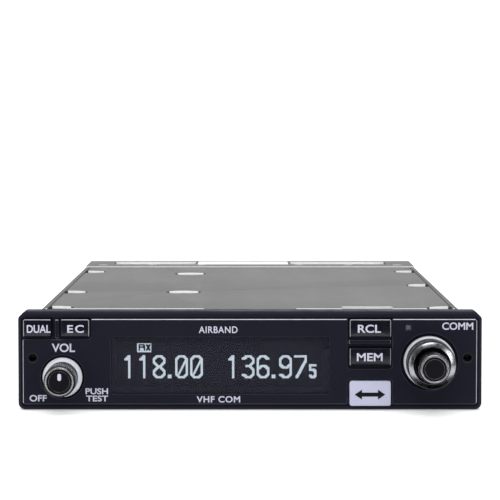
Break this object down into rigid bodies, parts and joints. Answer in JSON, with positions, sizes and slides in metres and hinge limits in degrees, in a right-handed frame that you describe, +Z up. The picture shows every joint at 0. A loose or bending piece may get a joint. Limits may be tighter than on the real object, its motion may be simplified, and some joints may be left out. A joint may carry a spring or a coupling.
{
  "type": "panel-mount airband radio with mounting tray",
  "caption": "Panel-mount VHF airband transceiver with lit dot-matrix display, rotary controls and keys, locked by screws into a slide-in sheet-metal mounting tray.",
  "frame": {"origin": "centre of the whole unit's box, at its bottom", "axes": "+X to the right seen from the front, +Y from the bezel towards the rear connectors, +Z up"},
  "size_m": [0.16, 0.306, 0.034],
  "materials": {
    "tray_sheet": "grey conversion-coated sheet, fine satin",
    "rivet_alloy": "plain alloy rivets",
    "spring_brass": "bright leaf springs",
    "cast_alloy": "as-cast, fine grain",
    "cover_plate": "bright plated sheet, light brushing",
    "heat_sink_black": "black anodised",
    "screw_steel": "zinc-plated",
    "lock_steel": "blackened",
    "bezel_black": "satin navy-black paint, fine texture",
    "panel_black": "matte navy-black, fine moulded grain",
    "window_tint": "smoked window, hard coat",
    "display_glass": "black display glass",
    "display_light": "lit dots, cool white",
    "gasket_rubber": "black foam rubber",
    "key_black": "moulded, satin",
    "key_white": "pale lavender moulding",
    "legend_white": "printed legend, satin",
    "legend_black": "printed legend, satin",
    "keypad_grey": "silicone rubber",
    "sensor_grey": "smoky light pipe",
    "board_green": "solder-resist green",
    "switch_black": "moulded",
    "control_metal": "plated control body",
    "knob_black": "black, fine knurl",
    "skirt_bright": "polished metal skirt",
    "shaft_steel": "turned steel",
    "plunger_white": "acetal",
    "can_tin": "tinned screening can",
    "capacitor_blue": "sleeved can",
    "amp_black": "moulded module",
    "transformer_tape": "taped winding on a laminated core",
    "cable_grey": "flat flexible cable",
    "connector_cream": "moulded header",
    "nickel": "nickel plated, satin"
  },
  "bodies": {
    "tray": {"tray_cover": "tray_sheet", "tray_bottom": "tray_sheet", "tray_rear_bracket": "tray_sheet", "tray_rivets": "rivet_alloy", "clinch_nuts": "screw_steel", "tray_springs": "spring_brass"},
    "radio": {"chassis": "cast_alloy", "top_cover": "cover_plate", "bottom_cover": "cover_plate", "cover_screws": "screw_steel", "heat_sink": "heat_sink_black", "rear_screws": "screw_steel", "front_bezel": "bezel_black", "face_panel": "panel_black", "display_window": "window_tint", "display_module": "display_glass", "display_gasket": "gasket_rubber", "sensor_window": "sensor_grey", "keypad_rubber": "keypad_grey", "tact_switches": "switch_black", "front_board": "board_green", "bezel_screws": "screw_steel", "lock_screw_retainers": "screw_steel", "vol_control_body": "control_metal", "vol_nut_and_washer": "screw_steel", "comm_control_body": "control_metal", "comm_nut_and_washer": "screw_steel", "main_board": "board_green", "board_screws": "screw_steel", "shield_cans": "can_tin", "crystal_filters": "can_tin", "capacitors": "capacitor_blue", "power_amplifier": "amp_black", "audio_board": "board_green", "audio_transformer": "transformer_tape", "flat_cables": "cable_grey", "cable_connectors": "connector_cream", "rear_connector": "nickel", "jack_screws": "nickel", "antenna_jack": "nickel", "antenna_nut": "nickel"},
    "vol_plunger": {"vol_plunger": "plunger_white"},
    "vol_knob": {"vol_shaft": "shaft_steel", "vol_skirt": "skirt_bright", "vol_knob": "knob_black"},
    "comm_outer": {"comm_outer_shaft": "shaft_steel", "comm_skirt": "skirt_bright", "comm_outer_knob": "knob_black"},
    "comm_inner": {"comm_inner_shaft": "shaft_steel", "comm_inner_knob": "knob_black"},
    "key_dual": {"key_dual": "key_black"},
    "key_ec": {"key_ec": "key_black"},
    "key_rcl": {"key_rcl": "key_black"},
    "key_mem": {"key_mem": "key_black"},
    "key_swap": {"key_swap": "key_white"},
    "lock_screw_left": {"lock_screw_left": "lock_steel"},
    "lock_screw_right": {"lock_screw_right": "lock_steel"}
  },
  "joints": [
    {"name": "radio_slide", "type": "slide", "parent": "tray", "child": "radio", "axis": [0, -1, 0], "range_m": [0, 0.24]},
    {"name": "push_to_test", "type": "slide", "parent": "radio", "child": "vol_plunger", "axis": [0, 1, 0], "range_m": [0, 0.0008], "stiffness_N_per_m": 1500, "springref_m": -0.0008},
    {"name": "volume_turn", "type": "hinge", "parent": "vol_plunger", "child": "vol_knob", "pos_m": [-0.0646, -0.129, 0.0113], "axis": [0, 1, 0], "range_deg": [-150, 150]},
    {"name": "comm_outer_turn", "type": "hinge", "parent": "radio", "child": "comm_outer", "pos_m": [0.0618, -0.129, 0.0166], "axis": [0, 1, 0], "continuous": true},
    {"name": "comm_inner_turn", "type": "hinge", "parent": "radio", "child": "comm_inner", "pos_m": [0.0618, -0.129, 0.0166], "axis": [0, 1, 0], "continuous": true},
    {"name": "press_dual", "type": "slide", "parent": "radio", "child": "key_dual", "axis": [0, 1, 0], "range_m": [0, 0.0006], "stiffness_N_per_m": 1500, "springref_m": -0.0006},
    {"name": "press_ec", "type": "slide", "parent": "radio", "child": "key_ec", "axis": [0, 1, 0], "range_m": [0, 0.0006], "stiffness_N_per_m": 1500, "springref_m": -0.0006},
    {"name": "press_rcl", "type": "slide", "parent": "radio", "child": "key_rcl", "axis": [0, 1, 0], "range_m": [0, 0.0006], "stiffness_N_per_m": 1500, "springref_m": -0.0006},
    {"name": "press_mem", "type": "slide", "parent": "radio", "child": "key_mem", "axis": [0, 1, 0], "range_m": [0, 0.0006], "stiffness_N_per_m": 1500, "springref_m": -0.0006},
    {"name": "press_swap", "type": "slide", "parent": "radio", "child": "key_swap", "axis": [0, 1, 0], "range_m": [0, 0.0006], "stiffness_N_per_m": 1500, "springref_m": -0.0006},
    {"name": "left_lock_turn", "type": "hinge", "parent": "radio", "child": "lock_screw_left", "pos_m": [-0.0749, -0.129, 0.018], "axis": [0, 1, 0], "continuous": true},
    {"name": "right_lock_turn", "type": "hinge", "parent": "radio", "child": "lock_screw_right", "pos_m": [0.0749, -0.129, 0.018], "axis": [0, 1, 0], "continuous": true}
  ]
}
